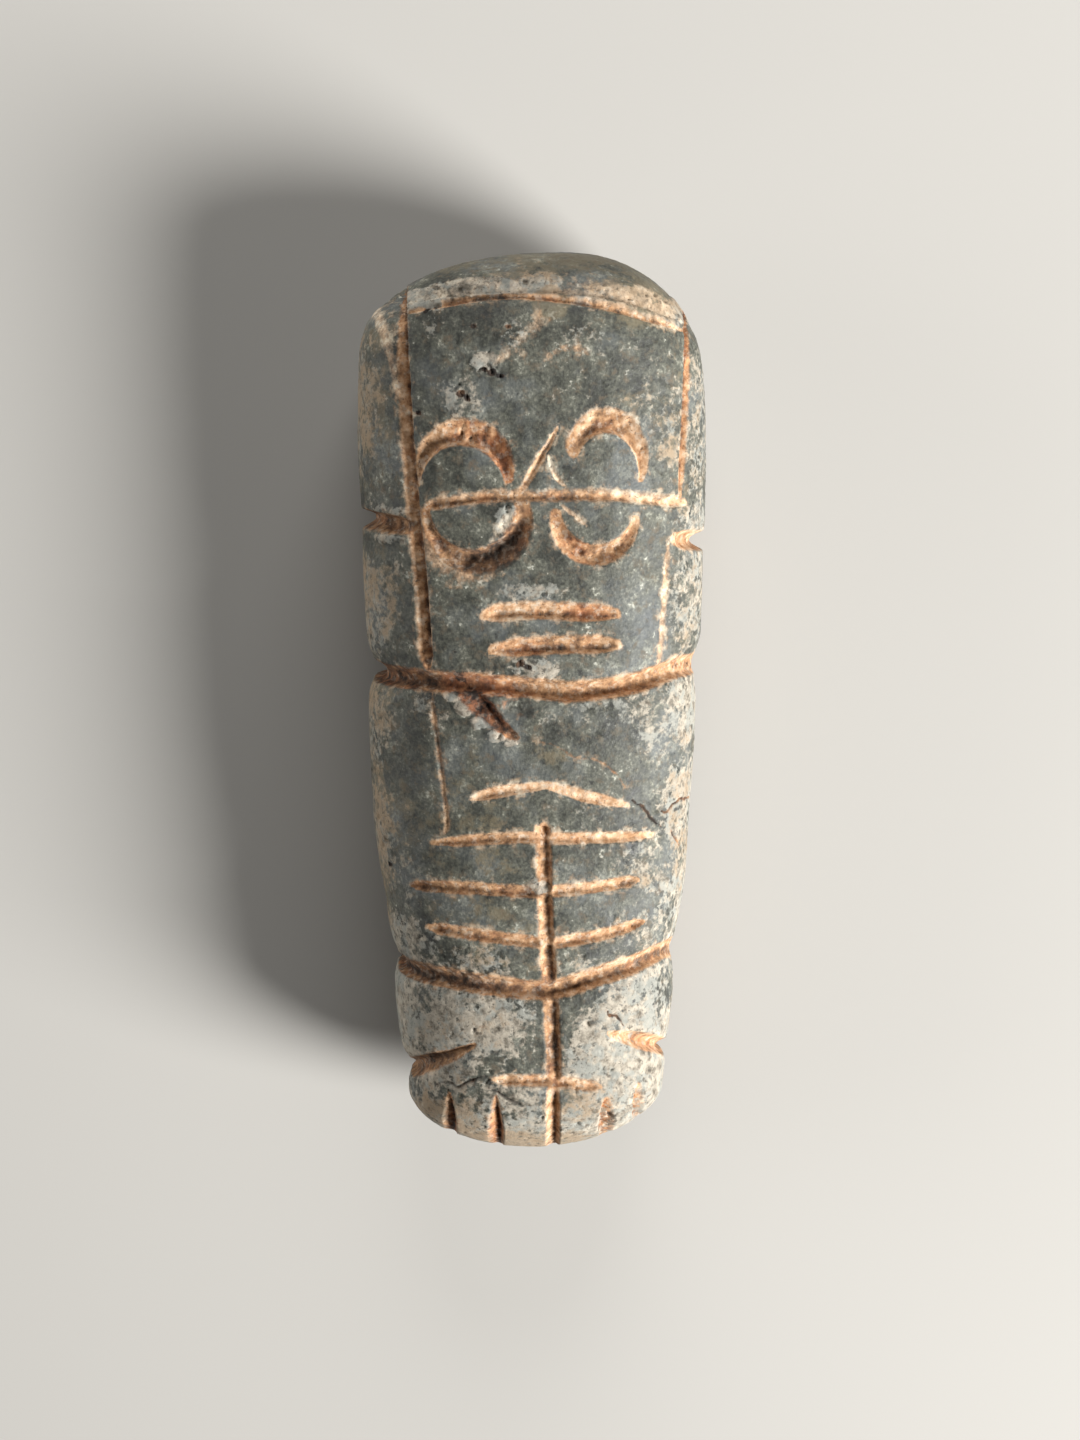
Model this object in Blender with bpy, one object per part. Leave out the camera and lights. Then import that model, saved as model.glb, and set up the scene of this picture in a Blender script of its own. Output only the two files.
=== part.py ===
"""A zemi: a small spirit figure cut from one pebble of stone, lying on its back.

Metres. +Y runs from the sole to the crown, +Z is the carved front, and +X is on the right of
someone who faces it. The origin is below the middle of the figure, in the plane it rests on.

Every place on the stone is a share of the figure, in percent: "across" runs from -100 at the left
side to 100 at the right side of the head, "along" from -100 at the sole to 100 at the crown.
A place on the side or the back is given by its turn round the figure, in degrees: 0 is the right
side, 90 the front, 180 the left side and 270 the back.
"""

import math

import bmesh
import bpy
from mathutils import Vector

# The pebble
LENGTH = 0.0900
WIDTH = 0.0344
FRONT_RISE = 0.0124  # from the widest plane up to the front
BACK_DROP = 0.0086  # from the widest plane down to the plane it rests on
BACK_WEAR = 0.0003  # how much of the rounded back is worn away flat
CROWN_ROUNDING = 0.0140
FOREHEAD_ROUNDING = 0.0100
SOLE_ROUNDING = 0.0065
TOES_ROUNDING = 0.0085
NAPE_ROUNDING = 0.0200  # both ends of the back
CROWN_LEAN = 0.0028  # the top of the crown is off centre, to the right

# The cuts, each at its widest
LINE_WIDTH = 0.0009
LINE_DEPTH = 0.00045
HAIR_WIDTH = 0.0006
HAIR_DEPTH = 0.0003
FRAME_WIDTH = 0.0013
FRAME_DEPTH = 0.0006
EYE_WIDTH = 0.0011
EYE_DEPTH = 0.00055
RIB_WIDTH = 0.0011
RIB_DEPTH = 0.0006
SPINE_WIDTH = 0.0012
SPINE_DEPTH = 0.0007
MOUTH_WIDTH = 0.0015
MOUTH_DEPTH = 0.0007
CRESCENT_DEPTH = 0.0009
BROW_LEFT_WIDTH = 0.0021
BROW_RIGHT_WIDTH = 0.0020
CHEEK_LEFT_WIDTH = 0.0023
CHEEK_RIGHT_WIDTH = 0.0017
NECK_WIDTH = 0.0020
NECK_DEPTH = 0.0014
WAIST_WIDTH = 0.0018
WAIST_DEPTH = 0.0012
EAR_WIDTH = 0.0017
EAR_DEPTH = 0.0014
ANKLE_WIDTH = 0.0015
ANKLE_DEPTH = 0.0011
TOE_WIDTH = 0.0011
TOE_DEPTH = 0.0008
CHIP_WIDTH = 0.0023
CHIP_DEPTH = 0.0008

# How finely it is faceted
RING_SIDES = 44
END_RINGS = 8
MIDDLE_RINGS = 20
CRESCENT_STEPS = 12
CUT_STEP = 0.0015  # between two sections of a cutter
CUTTER_LIFT = 0.0005  # how far a cutter stands out of the stone
CUTTER_FLARE = 1.3  # how much wider it is there
PROBE = 0.0003  # step on the surface that its normal is read from
PROBE_TURN = 1.0  # the same round the figure, in degrees

HALF_LENGTH = LENGTH / 2
HALF_WIDTH = WIDTH / 2

# How a cut runs out, as shares of its width, depth or length
NARROW_END = 0.35
SHALLOW_END = 0.2
THIN_END = 0.25
SIDE_FADE = 0.25
BACK_SHARE = 0.6  # of its depth, where a cut that runs right round crosses the back

# Half the width along the figure, in percent of the head's: (along, left, right)
WIDTHS = [
    (-100, 60, 62),
    (-92, 73, 72),
    (-86, 74.5, 78),
    (-80, 74, 79.5),
    (-74, 79, 81),
    (-60, 82, 84.5),
    (-54.5, 81.5, 83),
    (-48, 84.6, 86),
    (-36, 89, 90.6),
    (-25, 92.6, 92),
    (2, 95.4, 95.6),
    (10.3, 93, 94.3),
    (18, 96, 98),
    (33, 97.8, 99),
    (50, 99.6, 100),
    (60, 100, 100),
    (72, 99.5, 99),
    (88, 105, 100),
    (100, 99, 104),
]
# Height of the front along the figure, in percent of FRONT_RISE: (along, height)
HEIGHTS = [(-100, 90), (-76, 92), (-54, 97), (-20, 100), (60, 100), (100, 98)]

# The cuts between the toes: (across, where it starts, where it ends)
TOE_LINES = [
    (-47, -82.2, -96),
    (-20, -81.8, -99),
    (12, -79.5, -99.3),
    (43.5, -83, -95.8),
    (62.5, -81, -91.5),
]
# The cuts that run right round: (turn, along)
NECK_LINE = [
    (0, 10.6),
    (25, 11.6),
    (50, 9),
    (72, 7.9),
    (95, 9),
    (150, 9.9),
    (180, 9.7),
    (360, 10.6),
]
WAIST_LINE = [
    (0, -54),
    (25, -51.6),
    (56, -54.2),
    (84, -57.4),
    (110, -56.3),
    (135, -55.3),
    (180, -55.3),
    (270, -54),
    (360, -54),
]

# How square each rounding is: 2 is an ellipse
FRONT_SQUARENESS = 2.5
BACK_SQUARENESS = 3.0
CROWN_SQUARENESS = 2.3
SOLE_SQUARENESS = 2.0


def clear_scene():
    for thing in list(bpy.data.objects):
        bpy.data.objects.remove(thing, do_unlink=True)


def smooth_between(where, table, column):
    """The value of one column of a table at a place between its rows, with level tangents kept."""
    places = [row[0] for row in table]
    values = [row[column] for row in table]
    steps = [
        (values[i + 1] - values[i]) / (places[i + 1] - places[i]) for i in range(len(table) - 1)
    ]
    slopes = [steps[0]]
    for before, after in zip(steps, steps[1:]):
        turns = before * after <= 0
        slopes.append(0 if turns else 2 * before * after / (before + after))
    slopes.append(steps[-1])
    where = min(max(where, places[0]), places[-1])
    i = max(k for k in range(len(steps)) if places[k] <= where)
    gap = places[i + 1] - places[i]
    t = (where - places[i]) / gap
    return (
        (2 * t**3 - 3 * t**2 + 1) * values[i]
        + (t**3 - 2 * t**2 + t) * gap * slopes[i]
        + (3 * t**2 - 2 * t**3) * values[i + 1]
        + (t**3 - t**2) * gap * slopes[i + 1]
    )


def dome(depth, rounding, power):
    """0 at an end of the figure, 1 from where its rounding is over; a power of 2 is an ellipse."""
    left_over = min(1, max(0, 1 - depth / rounding))
    return (1 - left_over**power) ** (1 / power)


def section(y):
    """The figure's cross-section: centre line, left and right half-width, front and back height."""
    along = 100 * y / HALF_LENGTH
    crown = HALF_LENGTH - y
    sole = HALF_LENGTH + y
    crown_dome = dome(crown, CROWN_ROUNDING, CROWN_SQUARENESS)
    edge = HALF_WIDTH * crown_dome * dome(sole, SOLE_ROUNDING, SOLE_SQUARENESS)
    left = edge * smooth_between(along, WIDTHS, 1) / 100
    right = edge * smooth_between(along, WIDTHS, 2) / 100
    front = FRONT_RISE * smooth_between(along, HEIGHTS, 1) / 100
    front *= dome(crown, FOREHEAD_ROUNDING, CROWN_SQUARENESS)
    front *= dome(sole, TOES_ROUNDING, SOLE_SQUARENESS)
    back = BACK_DROP + BACK_WEAR
    back *= dome(crown, NAPE_ROUNDING, CROWN_SQUARENESS)
    back *= dome(sole, NAPE_ROUNDING, SOLE_SQUARENESS)
    centre = CROWN_LEAN * (1 - crown_dome) ** 2
    return centre, left, right, front, back


def on_stone(turn, y):
    """The point of the surface at a turn round the figure, with the back worn flat."""
    centre, left, right, front, back = section(y)
    angle = math.radians(turn)
    cos, sin = math.cos(angle), math.sin(angle)
    reach = right if cos > 0 else left
    height = front if sin > 0 else back
    power = FRONT_SQUARENESS if sin > 0 else BACK_SQUARENESS
    if reach <= 0 or height <= 0:
        return Vector((centre, y, BACK_DROP))
    radius = ((abs(cos) / reach) ** power + (abs(sin) / height) ** power) ** (-1 / power)
    return Vector((centre + radius * cos, y, max(0, BACK_DROP + radius * sin)))


def turn_of(x, y):
    """The turn at which the front passes over a point of the ground plan."""
    centre, left, right, front, _ = section(y)
    reach = right if x > centre else left
    share = min(1, abs(x - centre) / reach)
    height = front * (1 - share**FRONT_SQUARENESS) ** (1 / FRONT_SQUARENESS)
    return math.degrees(math.atan2(height, x - centre))


def outward(turn, y):
    """The surface's outward normal, from two short steps on it."""
    step = min(PROBE, (HALF_LENGTH - abs(y)) / 2)
    round_it = on_stone(turn + PROBE_TURN, y) - on_stone(turn - PROBE_TURN, y)
    along_it = on_stone(turn, y + step) - on_stone(turn, y - step)
    return along_it.cross(round_it).normalized()


def add_object(name, mesh):
    thing = bpy.data.objects.new(name, mesh)
    bpy.context.collection.objects.link(thing)
    return thing


def pebble():
    """The uncut pebble: rings from sole to crown, close together at the ends, and two poles."""
    ends = [1 - math.cos(math.pi / 2 * (i + 1) / END_RINGS) for i in range(END_RINGS)]
    low = [-HALF_LENGTH + SOLE_ROUNDING * share for share in ends]
    high = [HALF_LENGTH - CROWN_ROUNDING * share for share in reversed(ends)]
    gap = (high[0] - low[-1]) / MIDDLE_RINGS
    middle = [low[-1] + gap * i for i in range(1, MIDDLE_RINGS)]
    shape = bmesh.new()
    rings = []
    for y in low + middle + high:
        turns = [360 * i / RING_SIDES for i in range(RING_SIDES)]
        rings.append([shape.verts.new(on_stone(turn, y)) for turn in turns])
    sole = shape.verts.new((0, -HALF_LENGTH, BACK_DROP))
    crown = shape.verts.new((CROWN_LEAN, HALF_LENGTH, BACK_DROP))
    for i in range(RING_SIDES):
        j = (i + 1) % RING_SIDES
        shape.faces.new((sole, rings[0][i], rings[0][j]))
        shape.faces.new((crown, rings[-1][j], rings[-1][i]))
        for near, far in zip(rings, rings[1:]):
            shape.faces.new((near[j], near[i], far[i], far[j]))
    bmesh.ops.recalc_face_normals(shape, faces=shape.faces)
    mesh = bpy.data.meshes.new("zemi_figure")
    shape.to_mesh(mesh)
    shape.free()
    mesh.shade_smooth()
    return add_object("zemi_figure", mesh)


def spread(keys, settle):
    """Even steps along a smooth path through key points, each settled as (turn, y)."""
    path = []
    for i in range(len(keys) - 1):
        before = keys[max(i - 1, 0)]
        start, stop = keys[i], keys[i + 1]
        after = keys[min(i + 2, len(keys) - 1)]
        span = (on_stone(*settle(*stop)) - on_stone(*settle(*start))).length
        count = max(1, round(span / CUT_STEP))
        for k in range(count):
            t = k / count
            corners = zip(before, start, stop, after)
            path.append(settle(*[through(t, *four) for four in corners]))
    path.append(settle(*keys[-1]))
    return path


def through(t, before, start, stop, after):
    """A smooth curve from start to stop that heads past before and after."""
    bend = 2 * before - 5 * start + 4 * stop - after
    swing = 3 * start - before - 3 * stop + after
    return 0.5 * (2 * start + (stop - before) * t + bend * t**2 + swing * t**3)


# A cut's section from side to side: (share of the half-width, share of the depth)
CUT_SECTION = [(-1.0, 0.0), (-0.5, 0.8), (0.5, 0.8), (1.0, 0.0)]


def sweep(path, width_at, depth_at, closed=False):
    """A closed cutter along a path on the stone."""
    shape = bmesh.new()
    count = len(path)
    spots = [on_stone(*key) for key in path]
    loops = []
    for i, (turn, y) in enumerate(path):
        if closed:
            ahead = spots[(i + 1) % count] - spots[i - 1]
        else:
            ahead = spots[min(i + 1, count - 1)] - spots[max(i - 1, 0)]
        up = outward(turn, y)
        side = ahead.cross(up).normalized()
        share = i / (count - 1)
        half = width_at(share) / 2
        depth = depth_at(share, turn)
        rim = CUTTER_LIFT * up
        corners = [spots[i] - side * half * CUTTER_FLARE + rim]
        corners += [spots[i] + side * half * u - up * depth * v for u, v in CUT_SECTION]
        corners += [spots[i] + side * half * CUTTER_FLARE + rim]
        loops.append([shape.verts.new(corner) for corner in corners])
    pairs = list(zip(loops, loops[1:]))
    if closed:
        pairs.append((loops[-1], loops[0]))
    else:
        shape.faces.new(loops[0])
        shape.faces.new(reversed(loops[-1]))
    sides = len(loops[0])
    for near, far in pairs:
        for k in range(sides):
            m = (k + 1) % sides
            shape.faces.new((near[m], near[k], far[k], far[m]))
    bmesh.ops.recalc_face_normals(shape, faces=shape.faces)
    return shape


def cut(figure, name, shape):
    """Takes a cutter out of the figure."""
    mesh = bpy.data.meshes.new(name)
    shape.to_mesh(mesh)
    shape.free()
    cutter = add_object(name, mesh)
    cutter.hide_render = True
    cutter.display_type = "WIRE"
    modifier = figure.modifiers.new(name, "BOOLEAN")
    modifier.operation = "DIFFERENCE"
    modifier.solver = "EXACT"
    modifier.object = cutter


def on_front(across, along):
    """A place drawn on the front, as (turn, y)."""
    y = HALF_LENGTH * along / 100
    return turn_of(HALF_WIDTH * across / 100, y), y


def on_side(turn, along):
    """A place given by its turn, as (turn, y)."""
    return turn, HALF_LENGTH * along / 100


def ends_run_out(size, fade, least):
    """A width or depth that runs out towards both ends of a cut, over a share of its length."""

    def size_at(share, turn=90):
        near = min(share, 1 - share) / fade
        return size * min(1, least + (1 - least) * near)

    return size_at


def line(figure, name, points, width, depth, fade=0.15):
    """A cut along points drawn on the front."""
    path = spread(points, on_front)
    widths = ends_run_out(width, fade, NARROW_END)
    cut(figure, name, sweep(path, widths, ends_run_out(depth, fade, SHALLOW_END)))


def crescent(figure, name, centre, radii, start, stop, width, widest=0.5):
    """A cut along an arc, from a thin end to its widest point and thin again."""
    path = []
    for i in range(CRESCENT_STEPS + 1):
        angle = math.radians(start + (stop - start) * i / CRESCENT_STEPS)
        across = centre[0] + radii[0] * math.cos(angle)
        along = centre[1] + radii[1] * math.sin(angle)
        path.append(on_front(across, along))

    def swell(size):
        def size_at(share, turn=90):
            t = share / widest if share < widest else (1 - share) / (1 - widest)
            return size * (THIN_END + (1 - THIN_END) * math.sin(math.pi / 2 * t))

        return size_at

    cut(figure, name, sweep(path, swell(width), swell(CRESCENT_DEPTH)))


def girdle(figure, name, keys, width, depth):
    """A cut that runs right round, through keys given as (turn, along)."""
    count = round(math.pi * (HALF_WIDTH + FRONT_RISE) / CUT_STEP)
    turns = [360 * i / count for i in range(count)]
    path = [(turn, HALF_LENGTH * smooth_between(turn, keys, 1) / 100) for turn in turns]

    def depth_at(share, turn):
        behind = max(0, -math.sin(math.radians(turn)))
        return depth * (1 - (1 - BACK_SHARE) * behind)

    cut(figure, name, sweep(path, lambda share: width, depth_at, closed=True))


def side_cut(figure, name, keys, width, depth):
    """A cut across one side, through keys given as (turn, along)."""
    path = spread(keys, on_side)
    widths = ends_run_out(width, SIDE_FADE, NARROW_END)
    cut(figure, name, sweep(path, widths, ends_run_out(depth, SIDE_FADE, SHALLOW_END)))


def face(figure):
    line(
        figure, "crown_line",
        [(-69.5, 86.9), (-27.6, 90.2), (7.5, 90.2), (47.7, 87.6), (85.5, 83.1)],
        EYE_WIDTH, EYE_DEPTH,
    )
    line(
        figure, "frame_left",
        [(-73, 93), (-72, 79), (-68, 54), (-62, 29), (-59, 12)],
        FRAME_WIDTH, FRAME_DEPTH, 0.06,
    )
    line(figure, "frame_right_upper", [(86, 87), (87, 77), (83, 48)], EYE_WIDTH, EYE_DEPTH)
    line(figure, "frame_right_lower", [(76.5, 38.5), (72, 12)], LINE_WIDTH, LINE_DEPTH)
    line(
        figure, "eye_line",
        [(-58, 46.9), (-27.6, 48.9), (7.5, 49.3), (47.7, 49.1), (86.2, 47.1)],
        EYE_WIDTH, EYE_DEPTH, 0.05,
    )
    line(figure, "nose_left", [(-5, 50.4), (6, 57.5), (14.4, 63.3)], LINE_WIDTH, LINE_DEPTH, 0.5)
    line(figure, "nose_right", [(9, 55.9), (19, 51)], HAIR_WIDTH, HAIR_DEPTH, 0.5)
    line(figure, "mouth_upper", [(-26, 24.2), (-0.6, 25.3), (47, 24.4)], MOUTH_WIDTH, MOUTH_DEPTH)
    line(figure, "mouth_lower", [(-21.5, 17), (15.5, 18), (47.5, 17.8)], MOUTH_WIDTH, MOUTH_DEPTH)
    crescent(
        figure, "brow_left", (-37.9, 52.3), (25.3, 10), 185, -5, BROW_LEFT_WIDTH, widest=0.65
    )
    crescent(
        figure, "cheek_left", (-31.6, 45.6), (27, 10.4), 180, 368, CHEEK_LEFT_WIDTH, widest=0.68
    )
    crescent(
        figure, "brow_right", (41, 55.2), (21, 9.7), 155, -18, BROW_RIGHT_WIDTH, widest=0.55
    )
    crescent(
        figure, "cheek_right", (35.6, 45.4), (22.4, 8.7), 180, 350, CHEEK_RIGHT_WIDTH
    )
    side_cut(
        figure, "ear_left", [(138, 42.2), (160, 42.8), (180, 42.4), (222, 42)],
        EAR_WIDTH, EAR_DEPTH,
    )
    side_cut(
        figure, "ear_right", [(32, 39.3), (15, 38.2), (0, 37.6), (-42, 37.4)],
        EAR_WIDTH, EAR_DEPTH,
    )


def body(figure):
    girdle(figure, "neck", NECK_LINE, NECK_WIDTH, NECK_DEPTH)
    girdle(figure, "waist", WAIST_LINE, WAIST_WIDTH, WAIST_DEPTH)
    line(figure, "chest_left", [(-56, 7), (-53, -3), (-48, -19), (-49, -23)], HAIR_WIDTH, HAIR_DEPTH)
    line(
        figure, "breast_left", [(-34, -15.2), (-20, -13.6), (8.5, -12)], LINE_WIDTH, LINE_DEPTH, 0.3
    )
    line(
        figure, "breast_right", [(8.5, -12), (32, -14.7), (54.5, -17)], LINE_WIDTH, LINE_DEPTH, 0.3
    )
    line(
        figure, "rib_1", [(-56.5, -25.2), (-17, -23.6), (24, -23.6), (69, -24)],
        RIB_WIDTH, RIB_DEPTH,
    )
    line(figure, "rib_2_left", [(-69.5, -35.4), (-34.5, -34.7), (6, -35.6)], RIB_WIDTH, RIB_DEPTH)
    line(figure, "rib_2_right", [(7, -35.4), (38, -34.4), (60.5, -33.6)], RIB_WIDTH, RIB_DEPTH)
    line(figure, "rib_3_left", [(-60, -44.2), (-28.7, -45.1), (8, -46.7)], RIB_WIDTH, RIB_DEPTH)
    line(figure, "rib_3_right", [(8, -47), (38, -45.3), (64, -43.2)], RIB_WIDTH, RIB_DEPTH)
    line(
        figure, "spine", [(6.3, -24), (8, -44), (11.7, -68), (12.5, -79)],
        SPINE_WIDTH, SPINE_DEPTH, 0.04,
    )


def foot(figure):
    side_cut(
        figure, "ankle_left",
        [(117, -70), (128, -73.1), (141, -76), (158, -79.3), (180, -81.5), (220, -82.5)],
        ANKLE_WIDTH, ANKLE_DEPTH,
    )
    side_cut(
        figure, "ankle_right", [(54, -67.8), (38, -70.9), (20, -74.4), (0, -77.5), (-40, -78.5)],
        ANKLE_WIDTH, ANKLE_DEPTH,
    )
    line(figure, "foot_line", [(-22, -77.8), (12, -78), (39.7, -79.8)], RIB_WIDTH, RIB_DEPTH)
    for number, (across, top, bottom) in enumerate(TOE_LINES, start=1):
        drops = (0, 0.5, 0.8, 1)  # closer together where the foot curves under
        points = [(across, top + (bottom - top) * drop) for drop in drops]
        line(figure, f"toe_{number}", points, TOE_WIDTH, TOE_DEPTH, 0.2)


def chip(figure):
    line(
        figure, "chip", [(-40, 8.2), (-31, 6.2), (-23, 2.9), (-14.4, 0.4), (-7.5, -0.9)],
        CHIP_WIDTH, CHIP_DEPTH, 0.4,
    )


def stone():
    """Dark grey-green stone, dull with a little polish from handling."""
    material = bpy.data.materials.new("stone")
    material.use_nodes = True
    shader = material.node_tree.nodes["Principled BSDF"]
    shader.inputs["Base Color"].default_value = (0.085, 0.088, 0.078, 1)
    shader.inputs["Roughness"].default_value = 0.55
    shader.inputs["Metallic"].default_value = 0.0
    return material


clear_scene()
zemi = pebble()
zemi.data.materials.append(stone())
face(zemi)
body(zemi)
foot(zemi)
chip(zemi)
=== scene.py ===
# %% [markdown]
# # A limestone zemi
#
# A zemi is a small spirit figure. This one is a single pebble of dark limestone, as long as a
# finger, rubbed into a rounded bar and then sawn and scratched into a face, a body and two feet.
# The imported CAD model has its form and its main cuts, in about ten thousand triangles. This script
# makes the same stone again, fine enough to show the tool marks, the wear and the soil that a
# buried carving keeps, and puts it in the place of the CAD solid.
#
# Sizes here are in millimetres, and MM turns them into Blender's metres.

# %% Load the frame
import math

import bpy
import numpy as np
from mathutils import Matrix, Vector


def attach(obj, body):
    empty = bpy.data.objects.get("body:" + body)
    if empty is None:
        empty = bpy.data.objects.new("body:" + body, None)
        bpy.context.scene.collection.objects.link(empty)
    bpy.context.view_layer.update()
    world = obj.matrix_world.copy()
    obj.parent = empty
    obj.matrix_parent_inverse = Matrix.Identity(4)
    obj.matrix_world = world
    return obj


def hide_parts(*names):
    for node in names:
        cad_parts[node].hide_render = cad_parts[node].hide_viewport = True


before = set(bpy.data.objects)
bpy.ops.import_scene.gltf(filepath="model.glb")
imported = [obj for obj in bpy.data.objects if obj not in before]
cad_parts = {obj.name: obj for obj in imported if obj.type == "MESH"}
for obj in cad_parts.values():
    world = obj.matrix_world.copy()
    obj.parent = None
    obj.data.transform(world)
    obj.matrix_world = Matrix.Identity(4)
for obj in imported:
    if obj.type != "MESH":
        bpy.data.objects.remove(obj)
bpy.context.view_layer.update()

MM = 0.001


def add_object(name, data):
    """A new object in the scene."""
    thing = bpy.data.objects.new(name, data)
    bpy.context.scene.collection.objects.link(thing)
    return thing


# %% [markdown]
# ## The form of the uncut stone
#
# On the real figure this came first: a pebble ground on a harder stone until it was an even,
# slightly squared bar. It could be sculpted, or lofted through drawn sections. A formula is
# chosen here, because it is the one that the CAD solid follows: at each place along the figure a
# section with its own half-widths and heights, and rounded ends.
#
# Places are shares of the figure in percent, from -100 to 100: "across" from its left side to its
# right, "along" from the sole to the crown. A place on the side has a turn instead of "across":
# 0 degrees is the right side, 90 the front, 180 the left side and 270 the back.

# %% Sizes of the stone
LENGTH = 90.0
WIDTH = 34.4
FRONT_RISE = 12.4  # from the widest plane up to the front
BACK_DROP = 8.6  # from the widest plane down to the floor
BACK_WEAR = 0.3  # how much of the rounded back is worn flat
CROWN_ROUNDING = 14.0
FOREHEAD_ROUNDING = 10.0
SOLE_ROUNDING = 6.5
TOES_ROUNDING = 8.5
NAPE_ROUNDING = 20.0
CROWN_LEAN = 2.8  # the top of the crown is off centre
FRONT_SQUARENESS = 2.5  # 2 is an ellipse
BACK_SQUARENESS = 3.0
CROWN_SQUARENESS = 2.3
SOLE_SQUARENESS = 2.0
HALF_LENGTH = LENGTH / 2
HALF_WIDTH = WIDTH / 2

# (along, left half-width, right half-width), in percent
WIDTHS = [
    (-100, 60, 62), (-92, 73, 72), (-86, 74.5, 78), (-80, 74, 79.5), (-74, 79, 81),
    (-60, 82, 84.5), (-54.5, 81.5, 83), (-48, 84.6, 86), (-36, 89, 90.6), (-25, 92.6, 92),
    (2, 95.4, 95.6), (10.3, 93, 94.3), (18, 96, 98), (33, 97.8, 99), (50, 99.6, 100),
    (60, 100, 100), (72, 99.5, 99), (88, 105, 100), (100, 99, 104),
]
# (along, height of the front), in percent
HEIGHTS = [(-100, 90), (-76, 92), (-54, 97), (-20, 100), (60, 100), (100, 98)]


# %% The section at any place along it
def smooth_between(where, table, column):
    """One column of a table, read between its rows on a curve that adds no bumps."""
    rows = np.array(table, float)
    places, values = rows[:, 0], rows[:, column]
    gaps = np.diff(places)
    steps = np.diff(values) / gaps
    before, after = steps[:-1], steps[1:]
    agree = before * after > 0
    inner = np.where(agree, 2 * before * after / np.where(agree, before + after, 1), 0)
    slopes = np.concatenate([steps[:1], inner, steps[-1:]])
    where = np.clip(where, places[0], places[-1])
    i = np.clip(np.searchsorted(places, where, side="right") - 1, 0, len(steps) - 1)
    t = (where - places[i]) / gaps[i]
    return (
        (2 * t**3 - 3 * t**2 + 1) * values[i]
        + (t**3 - 2 * t**2 + t) * gaps[i] * slopes[i]
        + (3 * t**2 - 2 * t**3) * values[i + 1]
        + (t**3 - t**2) * gaps[i] * slopes[i + 1]
    )


def dome(depth, rounding, power):
    """0 at an end of the figure, 1 from where its rounding is over."""
    left_over = np.clip(1 - depth / rounding, 0, 1)
    return (1 - left_over**power) ** (1 / power)


def section(y):
    """Centre line, left and right half-width, front and back height at each y."""
    along = 100 * y / HALF_LENGTH
    crown, sole = HALF_LENGTH - y, HALF_LENGTH + y
    crown_dome = dome(crown, CROWN_ROUNDING, CROWN_SQUARENESS)
    edge = HALF_WIDTH * crown_dome * dome(sole, SOLE_ROUNDING, SOLE_SQUARENESS)
    left = edge * smooth_between(along, WIDTHS, 1) / 100
    right = edge * smooth_between(along, WIDTHS, 2) / 100
    front = FRONT_RISE * smooth_between(along, HEIGHTS, 1) / 100
    front = front * dome(crown, FOREHEAD_ROUNDING, CROWN_SQUARENESS)
    front = front * dome(sole, TOES_ROUNDING, SOLE_SQUARENESS)
    back = (BACK_DROP + BACK_WEAR) * dome(crown, NAPE_ROUNDING, CROWN_SQUARENESS)
    back = back * dome(sole, NAPE_ROUNDING, SOLE_SQUARENESS)
    centre = CROWN_LEAN * (1 - crown_dome) ** 2
    return centre, left, right, front, back


TINY = 1e-6  # keeps a division away from zero, mm


def on_stone(turn, y):
    """Points of the uncut surface, at turns round the figure and places along it."""
    centre, left, right, front, back = section(y)
    cos, sin = np.cos(np.radians(turn)), np.sin(np.radians(turn))
    reach = np.maximum(np.where(cos > 0, right, left), TINY)
    height = np.maximum(np.where(sin > 0, front, back), TINY)
    power = np.where(sin > 0, FRONT_SQUARENESS, BACK_SQUARENESS)
    radius = ((abs(cos) / reach) ** power + (abs(sin) / height) ** power) ** (-1 / power)
    z = np.maximum(0, BACK_DROP + radius * sin)
    return np.stack([centre + radius * cos, y + 0 * z, z], axis=-1)


# %% [markdown]
# ## The uncut stone as a mesh
#
# Small marks need small faces, but only where they are seen. The mesh is a net of rings, as fine
# as the tool marks on the carved front and coarser on the plain back. A sphere or a remeshed block
# would also do, but in a net the cuts' edges come out cleaner, and its places are known.

# %% Net the stone
FRONT_NET = 0.165  # between neighbouring points, mm
BACK_NET = 0.70
SIDE_TURN = 25  # the fine net goes this far round the sides, in degrees
MEASURING_STEPS = 20000  # along the figure, and
TURN_STEPS = 3600  # round it, to measure distances on the surface


def even_steps(places, distances, step):
    """Places spaced evenly by distance, in whole steps."""
    travelled = np.concatenate([[0], np.cumsum(distances)])
    count = round(travelled[-1] / step)
    return np.interp(np.linspace(0, travelled[-1], count + 1), travelled, places)


def ring_places():
    """Where the rings go: as close on the steep ends as on the flat front."""
    y = -HALF_LENGTH * np.cos(np.linspace(0, math.pi, MEASURING_STEPS + 1))
    _, _, right, front, _ = section(y)
    climbs = np.maximum(abs(np.diff(right)), abs(np.diff(front)))
    return even_steps(y, np.hypot(np.diff(y), climbs), FRONT_NET)[1:-1]


def ring_turns():
    """Turns round a ring, close together on the front and further apart behind."""
    turn = np.linspace(-SIDE_TURN, 360 - SIDE_TURN, TURN_STEPS + 1)
    spots = on_stone(turn % 360, np.zeros_like(turn))
    distances = np.linalg.norm(np.diff(spots, axis=0), axis=1)
    behind = turn[:-1] > 180 + SIDE_TURN
    distances[behind] *= FRONT_NET / BACK_NET
    return even_steps(turn, distances, FRONT_NET)[:-1] % 360


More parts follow.
